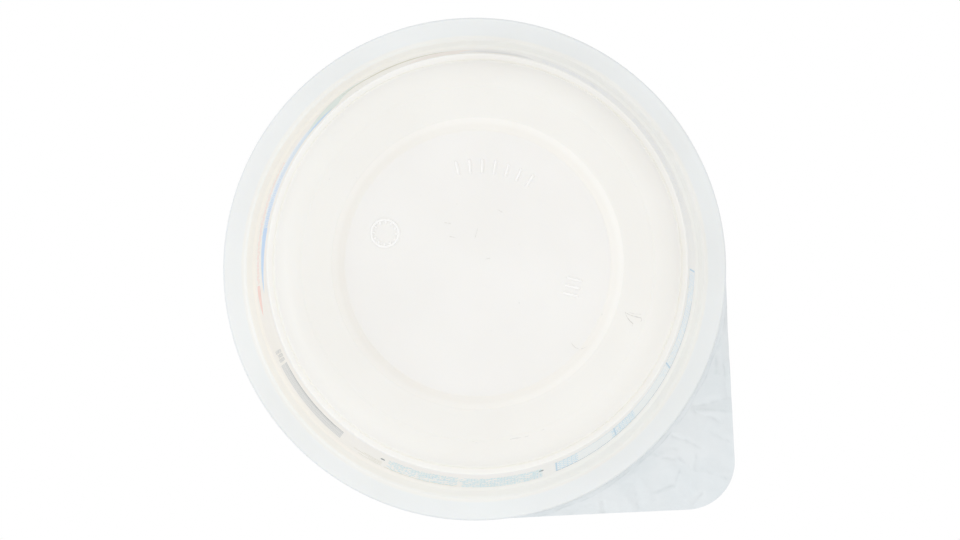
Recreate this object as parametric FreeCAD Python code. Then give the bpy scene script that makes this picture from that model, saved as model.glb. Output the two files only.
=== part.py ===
"""A shut dairy cup: a moulded plastic cup with its contents, sealed by a foil lid with a pull corner.

Millimetres, +Z up. The origin is on the cup's axis, in the plane that the cup stands on.
"""

import FreeCAD
import Part
import math
import os

from FreeCAD import Vector

# Overall sizes
HEIGHT = 53.0  # standing plane to the sealing face of the flange
RIM_RADIUS = 47.5  # outer edge of the flange

# Flange: the flat ring that the foil is sealed to
FLANGE_THICKNESS = 1.1
FLANGE_OVERHANG = 4.3  # from the collar out to the edge of the flange
FLANGE_EDGE_ROUND = 0.4
FLANGE_ROOT_ROUND = 0.8

# Collar: the plain band under the flange, wider than the printed wall by one shoulder
COLLAR_HEIGHT = 10.0  # shoulder to the underside of the flange
COLLAR_DRAFT_DEG = 11.5
SHOULDER_STEP = 0.7  # how far the shoulder stands out from the wall
SHOULDER_RISE = 0.9
SHOULDER_ROUND = 0.35

# Wall: the printed cone between the shoulder and the foot ledge
WALL_DRAFT_DEG = 7.8

# Foot: a rounded corner that stands inside the wall, so that cups nest on the ledge
LEDGE_WIDTH = 1.1
LEDGE_HEIGHT = 4.3  # standing plane to the ledge
LEDGE_ROUND = 0.3
FOOT_CORNER_ROUND = 4.5
STANDING_WIDTH = 4.8  # flat ring that touches the table
FOOT_GROOVE_WIDTH = 0.5
FOOT_GROOVE_DEPTH = 0.15
FOOT_GROOVE_LAND = 0.15  # flat strip between the groove and the rounded corner

# Recess in the middle of the base
RECESS_DEPTH = 1.2
RECESS_SLOPE_RUN = 2.1
RECESS_ROUND = 0.6

# Low marks moulded on the recessed face
MARK_RELIEF = 0.15
MARK_INSET = 6.0  # from the edge of the recessed face to the middle of each group
MARK_LINE = 0.45  # width of a moulded line
PIP_COUNT = 7
PIP_PITCH = 2.1
PIP_LENGTH = 2.4
PIP_ROW_AZIMUTH = 280.0
DIAL_RADIUS = 2.5
DIAL_TICKS = 12
DIAL_TICK_LENGTH = 0.7
DIAL_AZIMUTH = 198.0
TALLY_COUNT = 3
TALLY_PITCH = 1.3
TALLY_LENGTH = 2.6
TALLY_AZIMUTH = 14.0

# Foil lid
FOIL_THICKNESS = 0.12
FOIL_INSET = 0.15  # edge of the flange to the edge of the foil
TAB_AZIMUTH = 42.3
TAB_CORNER_ROUND = 9.2

FULLEST_ROUND = 0.98  # share of a line that rounds may use, so that a flat stretch stays

PARTS_FOLDER = "parts"


def sloped(rise, draft_deg):
    """How far a drafted wall leans out over a rise."""
    return rise * math.tan(math.radians(draft_deg))


def on_circle(radius, azimuth_deg, z=0.0):
    a = math.radians(azimuth_deg)
    return Vector(radius * math.cos(a), radius * math.sin(a), z)


def rounded_edges(corners):
    """Lines through an open chain of corners (x, z, round) in the XZ plane, with a tangent arc at each corner
    that has a round. A round is limited by the length of the two lines that it joins."""
    points = [Vector(x, 0, z) for x, z, _ in corners]
    rounds = [radius for _, _, radius in corners]
    rooms = []  # how much of each line a round at one of its ends may use
    for a, b, round_a, round_b in zip(points, points[1:], rounds, rounds[1:]):
        share = FULLEST_ROUND / 2 if round_a and round_b else FULLEST_ROUND
        rooms.append((b - a).Length * share)
    edges = []
    start = points[0]
    for i in range(1, len(points) - 1):
        here = points[i]
        if rounds[i]:
            back = (points[i - 1] - here).normalize()
            ahead = (points[i + 1] - here).normalize()
            half = back.getAngle(ahead) / 2
            radius = min(rounds[i], min(rooms[i - 1], rooms[i]) * math.tan(half))
            to_tangent = radius / math.tan(half)
            to_middle = radius / math.sin(half) - radius
            middle = here + (back + ahead).normalize() * to_middle
            first, last = here + back * to_tangent, here + ahead * to_tangent
            edges.append(Part.LineSegment(start, first).toShape())
            edges.append(Part.Arc(first, middle, last).toShape())
            start = last
        else:
            edges.append(Part.LineSegment(start, here).toShape())
            start = here
    edges.append(Part.LineSegment(start, points[-1]).toShape())
    return edges


# Heights and radii that follow from the sizes above, from the flange down and inwards
FLANGE_UNDERSIDE = HEIGHT - FLANGE_THICKNESS
COLLAR_TOP_RADIUS = RIM_RADIUS - FLANGE_OVERHANG
COLLAR_BOTTOM = FLANGE_UNDERSIDE - COLLAR_HEIGHT
COLLAR_BOTTOM_RADIUS = COLLAR_TOP_RADIUS - sloped(COLLAR_HEIGHT, COLLAR_DRAFT_DEG)
WALL_TOP = COLLAR_BOTTOM - SHOULDER_RISE
WALL_TOP_RADIUS = COLLAR_BOTTOM_RADIUS - SHOULDER_STEP
WALL_FOOT_RADIUS = WALL_TOP_RADIUS - sloped(WALL_TOP - LEDGE_HEIGHT, WALL_DRAFT_DEG)
LEDGE_INNER_RADIUS = WALL_FOOT_RADIUS - LEDGE_WIDTH
FOOT_CORNER_RADIUS = LEDGE_INNER_RADIUS - sloped(LEDGE_HEIGHT, WALL_DRAFT_DEG)  # before rounding
FOOT_CORNER_RUN = FOOT_CORNER_ROUND / math.tan(math.radians(90 + WALL_DRAFT_DEG) / 2)
GROOVE_OUTER_RADIUS = FOOT_CORNER_RADIUS - FOOT_CORNER_RUN - FOOT_GROOVE_LAND
STANDING_OUTER_RADIUS = GROOVE_OUTER_RADIUS - FOOT_GROOVE_WIDTH
STANDING_INNER_RADIUS = STANDING_OUTER_RADIUS - STANDING_WIDTH
RECESS_RADIUS = STANDING_INNER_RADIUS - RECESS_SLOPE_RUN
MARK_RING_RADIUS = RECESS_RADIUS - MARK_INSET
FOIL_RADIUS = RIM_RADIUS - FOIL_INSET


def cup_outline():
    """Half of the cup's section, from the middle of the base round to the middle of the sealed top."""
    groove_middle = GROOVE_OUTER_RADIUS - FOOT_GROOVE_WIDTH / 2
    return [
        (0, RECESS_DEPTH, 0),
        (RECESS_RADIUS, RECESS_DEPTH, RECESS_ROUND),
        (STANDING_INNER_RADIUS, 0, RECESS_ROUND),
        (STANDING_OUTER_RADIUS, 0, 0),
        (groove_middle, FOOT_GROOVE_DEPTH, 0),
        (GROOVE_OUTER_RADIUS, 0, 0),
        (FOOT_CORNER_RADIUS, 0, FOOT_CORNER_ROUND),
        (LEDGE_INNER_RADIUS, LEDGE_HEIGHT, 0),
        (WALL_FOOT_RADIUS, LEDGE_HEIGHT, LEDGE_ROUND),
        (WALL_TOP_RADIUS, WALL_TOP, SHOULDER_ROUND),
        (COLLAR_BOTTOM_RADIUS, COLLAR_BOTTOM, SHOULDER_ROUND),
        (COLLAR_TOP_RADIUS, FLANGE_UNDERSIDE, FLANGE_ROOT_ROUND),
        (RIM_RADIUS, FLANGE_UNDERSIDE, FLANGE_EDGE_ROUND),
        (RIM_RADIUS, HEIGHT, FLANGE_EDGE_ROUND),
        (0, HEIGHT, 0),
    ]


def raised(shape, azimuth_deg):
    """A mark drawn at the origin, with +X pointing away from the axis, moved out to its place on the base."""
    shape.Placement = FreeCAD.Placement(
        on_circle(MARK_RING_RADIUS, azimuth_deg, RECESS_DEPTH - MARK_RELIEF),
        FreeCAD.Rotation(Vector(0, 0, 1), azimuth_deg),
    )
    return shape


def bar(length, x=0.0, y=0.0):
    """A straight moulded line along X, which reaches into the base by its own relief."""
    corner = Vector(x - length / 2, y - MARK_LINE / 2, 0)
    return Part.makeBox(length, MARK_LINE, 2 * MARK_RELIEF, corner)


def ring(radius):
    outer = Part.makeCylinder(radius, 2 * MARK_RELIEF)
    return outer.cut(Part.makeCylinder(radius - MARK_LINE, 2 * MARK_RELIEF))


def pip_row():
    """Bars side by side along an arc, each pointing at the axis."""
    step = math.degrees(PIP_PITCH / MARK_RING_RADIUS)
    first = PIP_ROW_AZIMUTH - step * (PIP_COUNT - 1) / 2
    return [raised(bar(PIP_LENGTH), first + i * step) for i in range(PIP_COUNT)]


def dial():
    """A ring with ticks on its inside, like the face of a plain dial."""
    pieces = [ring(DIAL_RADIUS)]
    tick_middle = DIAL_RADIUS - MARK_LINE / 2 - DIAL_TICK_LENGTH / 2
    for i in range(DIAL_TICKS):
        tick = bar(DIAL_TICK_LENGTH, x=tick_middle)
        tick.rotate(Vector(0, 0, 0), Vector(0, 0, 1), 360 * i / DIAL_TICKS)
        pieces.append(tick)
    return [raised(pieces[0].multiFuse(pieces[1:]), DIAL_AZIMUTH)]


def tally():
    """A few bars side by side."""
    first = -TALLY_PITCH * (TALLY_COUNT - 1) / 2
    return [raised(bar(TALLY_LENGTH, y=first + i * TALLY_PITCH), TALLY_AZIMUTH) for i in range(TALLY_COUNT)]


def make_tub():
    """The cup and what it holds, as one solid, because nothing of the inside can be seen."""
    edges = rounded_edges(cup_outline())
    edges.append(Part.LineSegment(Vector(0, 0, HEIGHT), Vector(0, 0, RECESS_DEPTH)).toShape())
    half_section = Part.Face(Part.Wire(edges))
    cup = half_section.revolve(Vector(0, 0, 0), Vector(0, 0, 1), 360)
    return cup.multiFuse(pip_row() + dial() + tally())


def make_foil_lid():
    """A flat disc with one square corner, which stands out past the rim as the pull tab."""
    first_touch = TAB_AZIMUTH - 45
    last_touch = TAB_AZIMUTH + 45
    corner = on_circle(FOIL_RADIUS * math.sqrt(2), TAB_AZIMUTH, HEIGHT)
    start = on_circle(FOIL_RADIUS, first_touch, HEIGHT)
    end = on_circle(FOIL_RADIUS, last_touch, HEIGHT)
    far_side = on_circle(FOIL_RADIUS, TAB_AZIMUTH + 180, HEIGHT)
    round_start = corner + (start - corner).normalize() * TAB_CORNER_ROUND
    round_end = corner + (end - corner).normalize() * TAB_CORNER_ROUND
    reach = FOIL_RADIUS * math.sqrt(2) - TAB_CORNER_ROUND * (math.sqrt(2) - 1)
    edges = [
        Part.LineSegment(start, round_start).toShape(),
        Part.Arc(round_start, on_circle(reach, TAB_AZIMUTH, HEIGHT), round_end).toShape(),
        Part.LineSegment(round_end, end).toShape(),
        Part.Arc(end, far_side, start).toShape(),
    ]
    return Part.Face(Part.Wire(edges)).extrude(Vector(0, 0, FOIL_THICKNESS))


def main():
    os.makedirs(PARTS_FOLDER, exist_ok=True)
    for node, shape in (("tub", make_tub()), ("foil_lid", make_foil_lid())):
        print(node, "solids", len(shape.Solids), "valid", shape.isValid(), "volume", round(shape.Volume, 1))
        shape.exportStep(os.path.join(PARTS_FOLDER, node + ".step"))


main()
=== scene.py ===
import math
from functools import partialmethod

import bmesh
import bpy
from mathutils import Matrix, Vector, noise


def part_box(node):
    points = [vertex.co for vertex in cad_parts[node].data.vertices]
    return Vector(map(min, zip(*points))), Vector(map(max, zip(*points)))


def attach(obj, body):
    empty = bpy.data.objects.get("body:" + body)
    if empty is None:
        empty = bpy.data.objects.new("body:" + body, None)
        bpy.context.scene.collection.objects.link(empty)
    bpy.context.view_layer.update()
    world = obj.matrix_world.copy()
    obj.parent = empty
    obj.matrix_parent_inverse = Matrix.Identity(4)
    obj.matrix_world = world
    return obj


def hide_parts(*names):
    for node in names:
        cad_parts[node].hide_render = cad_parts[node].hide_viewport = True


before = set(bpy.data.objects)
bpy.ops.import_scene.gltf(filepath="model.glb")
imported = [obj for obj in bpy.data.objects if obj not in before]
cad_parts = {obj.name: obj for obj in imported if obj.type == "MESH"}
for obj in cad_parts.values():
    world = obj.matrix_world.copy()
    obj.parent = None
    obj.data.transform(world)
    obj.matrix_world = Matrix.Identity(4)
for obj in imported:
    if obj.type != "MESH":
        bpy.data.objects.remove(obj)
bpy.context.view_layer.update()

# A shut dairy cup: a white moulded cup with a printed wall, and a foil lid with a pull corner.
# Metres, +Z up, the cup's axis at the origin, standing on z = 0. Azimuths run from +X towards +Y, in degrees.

MM = 0.001
DEG = math.pi / 180

# ---- sizes
# The overall sizes come from the frame. The others are the cup's own.

TUB_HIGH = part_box("tub")[1]
FOIL_LOW, FOIL_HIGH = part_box("foil_lid")
HEIGHT = TUB_HIGH.z
RIM_RADIUS = TUB_HIGH.x
FOIL_RADIUS = -FOIL_LOW.x

FLANGE_THICKNESS = 1.1 * MM
FLANGE_OVERHANG = 4.3 * MM
FLANGE_EDGE_ROUND = 0.4 * MM
FLANGE_ROOT_ROUND = 0.8 * MM
COLLAR_HEIGHT = 10.0 * MM
COLLAR_DRAFT = 11.5 * DEG
SHOULDER_STEP = 0.7 * MM
SHOULDER_RISE = 0.9 * MM
SHOULDER_ROUND = 0.35 * MM
WALL_DRAFT = 7.8 * DEG
LEDGE_WIDTH = 1.1 * MM
LEDGE_HEIGHT = 4.3 * MM
LEDGE_ROUND = 0.3 * MM
LEDGE_ROOT_ROUND = 0.12 * MM
FOOT_CORNER_ROUND = 4.5 * MM
STANDING_WIDTH = 4.8 * MM
GROOVE_WIDTH = 0.5 * MM
GROOVE_DEPTH = 0.04 * MM
GROOVE_LAND = 0.15 * MM
GROOVE_ROUND = 0.1 * MM
RECESS_DEPTH = 1.2 * MM
RECESS_SLOPE_RUN = 2.1 * MM
RECESS_ROUND = 0.6 * MM
MARK_RELIEF = 0.15 * MM
MARK_INSET = 6.0 * MM
MARK_LINE = 0.45 * MM
MARK_SOFTNESS = 0.2 * MM  # of the edges of a mark's face

FLANGE_UNDERSIDE = HEIGHT - FLANGE_THICKNESS
COLLAR_TOP_RADIUS = RIM_RADIUS - FLANGE_OVERHANG
COLLAR_BOTTOM = FLANGE_UNDERSIDE - COLLAR_HEIGHT
COLLAR_BOTTOM_RADIUS = COLLAR_TOP_RADIUS - COLLAR_HEIGHT * math.tan(COLLAR_DRAFT)
WALL_TOP = COLLAR_BOTTOM - SHOULDER_RISE
WALL_TOP_RADIUS = COLLAR_BOTTOM_RADIUS - SHOULDER_STEP
WALL_HEIGHT = WALL_TOP - LEDGE_HEIGHT
WALL_FOOT_RADIUS = WALL_TOP_RADIUS - WALL_HEIGHT * math.tan(WALL_DRAFT)
LEDGE_INNER_RADIUS = WALL_FOOT_RADIUS - LEDGE_WIDTH
FOOT_CORNER_RADIUS = LEDGE_INNER_RADIUS - LEDGE_HEIGHT * math.tan(WALL_DRAFT)
FOOT_CORNER_RUN = FOOT_CORNER_ROUND / math.tan((math.pi / 2 + WALL_DRAFT) / 2)
GROOVE_OUTER_RADIUS = FOOT_CORNER_RADIUS - FOOT_CORNER_RUN - GROOVE_LAND
STANDING_OUTER_RADIUS = GROOVE_OUTER_RADIUS - GROOVE_WIDTH
STANDING_INNER_RADIUS = STANDING_OUTER_RADIUS - STANDING_WIDTH
RECESS_RADIUS = STANDING_INNER_RADIUS - RECESS_SLOPE_RUN
MARK_RING_RADIUS = RECESS_RADIUS - MARK_INSET

# The print is laid out flat along the wall's middle height, as a film of ink that thickens with each layer
PRINT_RADIUS = (WALL_FOOT_RADIUS + WALL_TOP_RADIUS) / 2
INK_SUNK = 0.010 * MM
INK_PROUD = 0.005 * MM
INK_LAYER = 0.003 * MM

# What lies under the foil: the sealing land, and the space that the foil may sag into
SEAL_WIDTH = 4.6 * MM
SEAL_INNER_RADIUS = RIM_RADIUS - SEAL_WIDTH
UNDER_FOIL_DEPTH = 2.5 * MM
UNDER_FOIL_ROUND = 0.5 * MM

TAB_AZIMUTH = 42.3 * DEG
TAB_CORNER_ROUND = 9.2 * MM
FOIL_THICKNESS = FOIL_HIGH.z - FOIL_LOW.z

# ---- small helpers


def smooth_step(x, low, high):
    """0 below low, 1 above high, and a smooth ramp between."""
    t = min(max((x - low) / (high - low), 0.0), 1.0)
    return t * t * (3 - 2 * t)


def polar(reach, azimuth, z=0):
    return Vector((reach * math.cos(azimuth), reach * math.sin(azimuth), z))


def new_object(name, data):
    thing = bpy.data.objects.new(name, data)
    bpy.context.scene.collection.objects.link(thing)
    return thing


def mesh_from(name, vertices, faces, edges=()):
    mesh = bpy.data.meshes.new(name)
    mesh.from_pydata(vertices, edges, faces)
    mesh.update()
    return mesh


def finish_piece(piece, material=None, replaces=None, sharp=35):
    """Shading, material and the frame's calls that every piece needs."""
    if material is not None:
        piece.data.materials.clear()
        piece.data.materials.append(material)
    piece.data.shade_smooth()
    piece.data.set_sharp_from_angle(angle=sharp * DEG)
    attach(piece, "root")
    if replaces:
        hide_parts(replaces)


def applied(name, thing):
    """A new object with the mesh that a thing has after its modifiers. The thing itself goes."""
    evaluated = thing.evaluated_get(bpy.context.evaluated_depsgraph_get())
    mesh = bpy.data.meshes.new_from_object(evaluated)
    mesh.name = name
    bpy.data.objects.remove(thing)
    return new_object(name, mesh)


def mesh_of(name, form):
    """The mesh that a bmesh form becomes."""
    mesh = bpy.data.meshes.new(name)
    form.to_mesh(mesh)
    form.free()
    return mesh


def joined(meshes):
    form = bmesh.new()
    for mesh in meshes:
        form.from_mesh(mesh)
    return mesh_of("joined", form)


def four_sided(name, corners):
    """A closed form through cross sections of four corners each, listed one section after another."""
    faces = []
    for a in range(0, len(corners) - 4, 4):
        b = a + 4
        faces += [(a + j, b + j, b + (j + 1) % 4, a + (j + 1) % 4) for j in range(4)]
    last = len(corners) - 4
    faces += [(0, 1, 2, 3), (last + 3, last + 2, last + 1, last)]
    return mesh_from(name, corners, faces)


# ---- node helpers

SEAM_GAP = 0.001 * MM  # points of a turned skin that are as near as this become one
ROW_HABITS = ("Gaps", "Ragged", "Loose", "Fade", "Taper", "Shift")
RAGGED_SEED, WIDE_SEED, TALL_SEED = 7, 21, 22
LEAST_MARK = 0.12  # the share of its size that a faded mark keeps at least


class NodeWriter:
    """Writes nodes into a tree. An input's value is a number, a vector or another node's output."""

    def __init__(self, tree):
        self.tree = tree

    def feed(self, socket, value):
        if isinstance(value, bpy.types.NodeSocket):
            self.tree.links.new(value, socket)
        else:
            socket.default_value = value

    def node(self, kind, settings=None):
        node = self.tree.nodes.new(kind)
        for key, value in (settings or {}).items():
            setattr(node, key, value)
        return node

    def add(self, kind, settings=None, **values):
        """The outputs of a node fed by its inputs' names, in which underscores stand for spaces."""
        node = self.node(kind, settings)
        for label, value in values.items():
            self.feed(node.inputs[label.replace("_", " ")], value)
        return node.outputs

    def in_order(self, kind, settings, *values):
        """The outputs of a node fed in the order of its inputs."""
        node = self.node(kind, settings)
        for socket, value in zip(node.inputs, values):
            self.feed(socket, value)
        return node.outputs

    def picked(self, kind, settings, given, result):
        """One output of a node whose sockets share names, so that all go by identifier."""
        node = self.node(kind, settings)
        sockets = {socket.identifier: socket for socket in node.inputs}
        for identifier, value in given.items():
            self.feed(sockets[identifier], value)
        return next(socket for socket in node.outputs if socket.identifier == result)

    def math(self, operation, *values):
        return self.in_order("ShaderNodeMath", {"operation": operation}, *values)[0]

    plus = partialmethod(math, "ADD")
    minus = partialmethod(math, "SUBTRACT")
    times = partialmethod(math, "MULTIPLY")
    over = partialmethod(math, "DIVIDE")

    def split(self, point):
        return self.add("ShaderNodeSeparateXYZ", Vector=point)

    def ramp(self, value, low, high, to_low=0.0, to_high=1.0):
        """Runs smoothly from to_low to to_high as the value runs from low to high."""
        ends = {"From_Min": low, "From_Max": high, "To_Min": to_low, "To_Max": to_high}
        return self.add("ShaderNodeMapRange", {"interpolation_type": "SMOOTHSTEP"}, Value=value, **ends)[0]


class Grower(NodeWriter):
    """A Geometry Nodes tree with named inputs, each with its kind."""

    def __init__(self, name, inputs):
        super().__init__(bpy.data.node_groups.new(name, "GeometryNodeTree"))
        sockets = self.tree.interface
        sockets.new_socket("Geometry", in_out="OUTPUT", socket_type="NodeSocketGeometry")
        for label, kind in ({"Geometry": "Geometry"} | inputs).items():
            sockets.new_socket(label, in_out="INPUT", socket_type="NodeSocket" + kind)
        self.given = self.add("NodeGroupInput")
        self.end = self.node("NodeGroupOutput").inputs[0]

    def vector(self, x=0.0, y=0.0, z=0.0):
        return self.add("ShaderNodeCombineXYZ", X=x, Y=y, Z=z)[0]

    def around(self, angle, reach, z=0.0):
        """The point at an angle round the Z axis, so far from it."""
        x, y = (self.times(self.math(turn, angle), reach) for turn in ("COSINE", "SINE"))
        return self.vector(x, y, z)

    def random(self, seed, at=None):
        """A random number from 0 to 1 for each element, or for each value of the field at."""
        given = {"Seed": seed} if at is None else {"Seed": seed, "ID": at}
        return self.picked("FunctionNodeRandomValue", {"data_type": "FLOAT"}, given, "Value_001")

    def position(self):
        return self.add("GeometryNodeInputPosition")[0]

    def index(self):
        return self.add("GeometryNodeInputIndex")[0]

    def moved(self, geometry, position):
        return self.add("GeometryNodeSetPosition", Geometry=geometry, Position=position)[0]

    def grid(self, columns, rows):
        """A grid of points, with each one's column and row."""
        mesh = self.add("GeometryNodeMeshGrid", Vertices_X=columns, Vertices_Y=rows)["Mesh"]
        column = self.math("FLOOR", self.over(self.plus(self.index(), 0.5), rows))
        return mesh, column, self.minus(self.index(), self.times(column, rows))

    def copied(self, points, **turned):
        """A real copy of the base mesh at each point."""
        base = self.given["Geometry"]
        copies = self.add("GeometryNodeInstanceOnPoints", Points=points, Instance=base, **turned)[0]
        return self.add("GeometryNodeRealizeInstances", Geometry=copies)[0]

    def close(self, geometry, material):
        """Ends the tree with the geometry in its material."""
        self.feed(self.end, self.add("GeometryNodeSetMaterial", Geometry=geometry, Material=material)[0])
        return self.tree


def grown(name, tree, base, **values):
    """The mesh that a tree makes from a base mesh, as a new object at the origin."""
    thing = new_object(name + "_base", base)
    modifier = thing.modifiers.new("grow", "NODES")
    modifier.node_group = tree
    for item in tree.interface.items_tree:
        key = item.name.replace(" ", "_")
        if item.item_type == "SOCKET" and item.in_out == "INPUT" and key in values:
            modifier[item.identifier] = values[key]
    return applied(name, thing)


def lathe_tree():
    """Turns the base mesh, a chain of points in the XZ plane, round the Z axis into a closed skin."""
    t = Grower("turned on a lathe", {"Segments": "Int", "Plastic": "Material"})
    section, segments = t.given["Geometry"], t.given["Segments"]
    count = t.add("GeometryNodeAttributeDomainSize", {"component": "MESH"}, Geometry=section)["Point Count"]
    grid, place, turn = t.grid(count, t.plus(segments, 1))
    angle = t.times(t.over(turn, segments), 2 * math.pi)
    sampling = {"data_type": "FLOAT_VECTOR", "domain": "POINT"}
    point = t.add("GeometryNodeSampleIndex", sampling, Geometry=section, Value=t.position(), Index=place)[0]
    turned = t.add("ShaderNodeVectorRotate", {"rotation_type": "Z_AXIS"}, Vector=point, Angle=angle)[0]
    outwards = t.add("GeometryNodeFlipFaces", Mesh=t.moved(grid, turned))[0]
    whole = t.add("GeometryNodeMergeByDistance", Geometry=outwards, Distance=SEAM_GAP)[0]
    return t.close(whole, t.given["Plastic"])


def ring_tree():
    """Copies of the base mesh on an arc about the Z axis, each with its +X outwards."""
    inputs = {"Count": "Int", "Radius": "Float", "Middle": "Float", "Step": "Float", "Plastic": "Material"}
    t = Grower("set round an arc", inputs)
    count = t.given["Count"]
    points = t.add("GeometryNodeMeshLine", Count=count)[0]
    from_middle = t.minus(t.index(), t.over(t.minus(count, 1), 2))
    angle = t.plus(t.times(from_middle, t.given["Step"]), t.given["Middle"])
    placed = t.moved(points, t.around(angle, t.given["Radius"]))
    return t.close(t.copied(placed, Rotation=t.vector(z=angle)), t.given["Plastic"])


def wrapped(t, geometry):
    """Lays flat geometry round the printed wall: X along the wall, Y up it from its foot, Z out of it."""
    x, y, z = t.split(t.position())
    reach = t.plus(t.math("MULTIPLY_ADD", y, math.tan(WALL_DRAFT), WALL_FOOT_RADIUS), z)
    return t.moved(geometry, t.around(t.over(x, PRINT_RADIUS), reach, t.plus(y, LEDGE_HEIGHT)))


def wrap_tree():
    t = Grower("laid on the wall", {"Ink": "Material"})
    return t.close(wrapped(t, t.given["Geometry"]), t.given["Ink"])


def print_tree():
    """Rows and columns of copies of the base mesh on the wall, from the Left and Bottom corner of a panel.

    Gaps is the share of copies left out, Ragged the most that a row may fall short of the panel's width. A
    copy's width and height shrink at random by up to Loose, by Fade towards the right of the panel, and by
    Taper towards its lower and upper edges. Shift moves every other row sideways, in pitches."""
    sizes = ("Left", "Bottom", "Pitch", "Row Pitch", "Wide", "Tall", *ROW_HABITS)
    counts = ("Columns", "Rows", "Seed")
    inputs = dict.fromkeys(sizes, "Float") | dict.fromkeys(counts, "Int") | {"Ink": "Material"}
    t = Grower("printed in rows", inputs)
    given = t.given
    last_column = t.math("MAXIMUM", t.minus(given["Columns"], 1), 1)
    grid, column, row = t.grid(given["Columns"], given["Rows"])
    shifted = t.plus(column, t.times(t.math("MODULO", row, 2), given["Shift"]))
    x = t.plus(t.times(shifted, given["Pitch"]), given["Left"])
    y = t.plus(t.times(row, given["Row Pitch"]), given["Bottom"])
    full = t.minus(1, t.times(t.random(RAGGED_SEED, row), given["Ragged"]))
    beyond = t.math("GREATER_THAN", t.over(column, last_column), full)
    blank = t.math("LESS_THAN", t.random(given["Seed"]), given["Gaps"])
    gone = {"Geometry": t.moved(grid, t.vector(x, y)), "Selection": t.math("MAXIMUM", beyond, blank)}
    kept = t.add("GeometryNodeDeleteGeometry", {"domain": "POINT"}, **gone)[0]
    # The marks that are left have new indexes, so how far along and up they are comes from their places
    x, y, _ = t.split(t.position())
    along = t.over(t.over(t.minus(x, given["Left"]), given["Pitch"]), last_column)
    level = t.over(t.minus(y, given["Bottom"]), given["Row Pitch"])
    half_rows = t.over(t.minus(given["Rows"], 1), 2)
    from_middle = t.over(t.minus(level, half_rows), t.math("MAXIMUM", half_rows, 1))
    lean = t.times(t.times(from_middle, from_middle), given["Taper"])
    fade = t.minus(1, t.times(t.math("POWER", along, 1.5), given["Fade"]))
    fade = t.math("MAXIMUM", t.minus(fade, t.times(lean, t.plus(along, 0.25))), LEAST_MARK)
    shrunk = []
    for label, seed in (("Wide", WIDE_SEED), ("Tall", TALL_SEED)):
        loose = t.minus(1, t.times(t.random(seed), given["Loose"]))
        shrunk.append(t.times(t.times(given[label], loose), fade))
    return t.close(wrapped(t, t.copied(kept, Scale=t.vector(*shrunk, 1.0))), given["Ink"])


# ---- shader helpers


class Finish(NodeWriter):
    """A material round a Principled shader. Plain values go into the shader's own sockets."""

    def __init__(self, name, **plain):
        self.material = bpy.data.materials.new(name)
        self.material.use_nodes = True
        super().__init__(self.material.node_tree)
        self.principled = self.tree.nodes["Principled BSDF"]
        for label, value in plain.items():
            self.feed(self.principled.inputs[label.replace("_", " ")], value)
        self.point = self.add("ShaderNodeTexCoord")["Object"]

    def noise(self, point, scale, detail=3.0):
        return self.add("ShaderNodeTexNoise", Vector=point, Scale=scale, Detail=detail)["Fac"]

    def mix(self, share, a, b, blend="MIX"):
        given = {"Factor_Float": share, "A_Color": a, "B_Color": b}
        return self.picked("ShaderNodeMix", {"data_type": "RGBA", "blend_type": blend}, given, "Result_Color")

    def bump(self, height, distance, strength):
        bumped = self.add("ShaderNodeBump", Height=height, Distance=distance, Strength=strength)[0]
        self.feed(self.principled.inputs["Normal"], bumped)

    def close(self, color, roughness=None):
        self.feed(self.principled.inputs["Base Color"], color)
        if roughness is not None:
            self.feed(self.principled.inputs["Roughness"], roughness)
        return self.material


def rgb(r, g, b):
    return (r, g, b, 1.0)


# ---- materials

RECESS_WHITE = rgb(0.902, 0.891, 0.865)
STANDING_WHITE = rgb(0.898, 0.886, 0.848)
WALL_WHITE = rgb(0.905, 0.895, 0.865)
COLLAR_CREAM = rgb(0.905, 0.898, 0.862)
FLANGE_WHITE = rgb(0.892, 0.915, 0.922)
# Painted shade: the yellow of the shade in the channel between the foot and the ledge, kept light since the
# channel's form darkens it as well
CHANNEL_PAINTED_SHADE = rgb(0.93, 0.915, 0.85)
# Painted light on the step up from the recess: a yellower band for the shade at its inner edge, and a lighter
# slope for its highlight
STEP_PAINTED_SHADE = rgb(0.912, 0.892, 0.846)
STEP_PAINTED_HIGHLIGHT = rgb(0.934, 0.918, 0.878)
# Painted highlight: a lighter band round the flange's root, where the fillet catches the light
ROOT_PAINTED_HIGHLIGHT = rgb(0.93, 0.927, 0.895)
# Painted highlight: the moulded marks are lighter than the plastic round them, as raised marks that catch the
# light
MARK_PAINTED_HIGHLIGHT = rgb(0.98, 0.97, 0.945)
# Painted highlight: a lighter band over the top of the rounded foot and the ledge
LEDGE_PAINTED_HIGHLIGHT = rgb(0.935, 0.925, 0.895)
# Painted light and shade by side: the wall warmer and a little darker towards -x, a little lighter and cooler
# towards +x
WALL_PAINTED_SHADE_SIDE = rgb(1.015, 0.982, 0.93)
WALL_PAINTED_LIGHT_SIDE = rgb(1.005, 1.015, 1.01)
# Painted light and shade by side: the base a little darker towards -x and lighter towards +x
BASE_PAINTED_SHADE_END = rgb(0.988, 0.988, 0.985)
BASE_PAINTED_LIGHT_END = rgb(1.008, 1.008, 1.006)
# Painted shade: a grey band on the rounded outer edge of the flange
RIM_EDGE_PAINTED_SHADE = rgb(0.77, 0.80, 0.81)
CLOUD_WHITE = rgb(0.955, 0.95, 0.945)
FOIL_DEEP = rgb(0.795, 0.835, 0.855)
FOIL_PALE = rgb(0.835, 0.865, 0.88)
# Painted shade along the foil's folds and its crimp's line
CREASE_PAINTED_SHADE = rgb(0.50, 0.54, 0.56)

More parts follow.
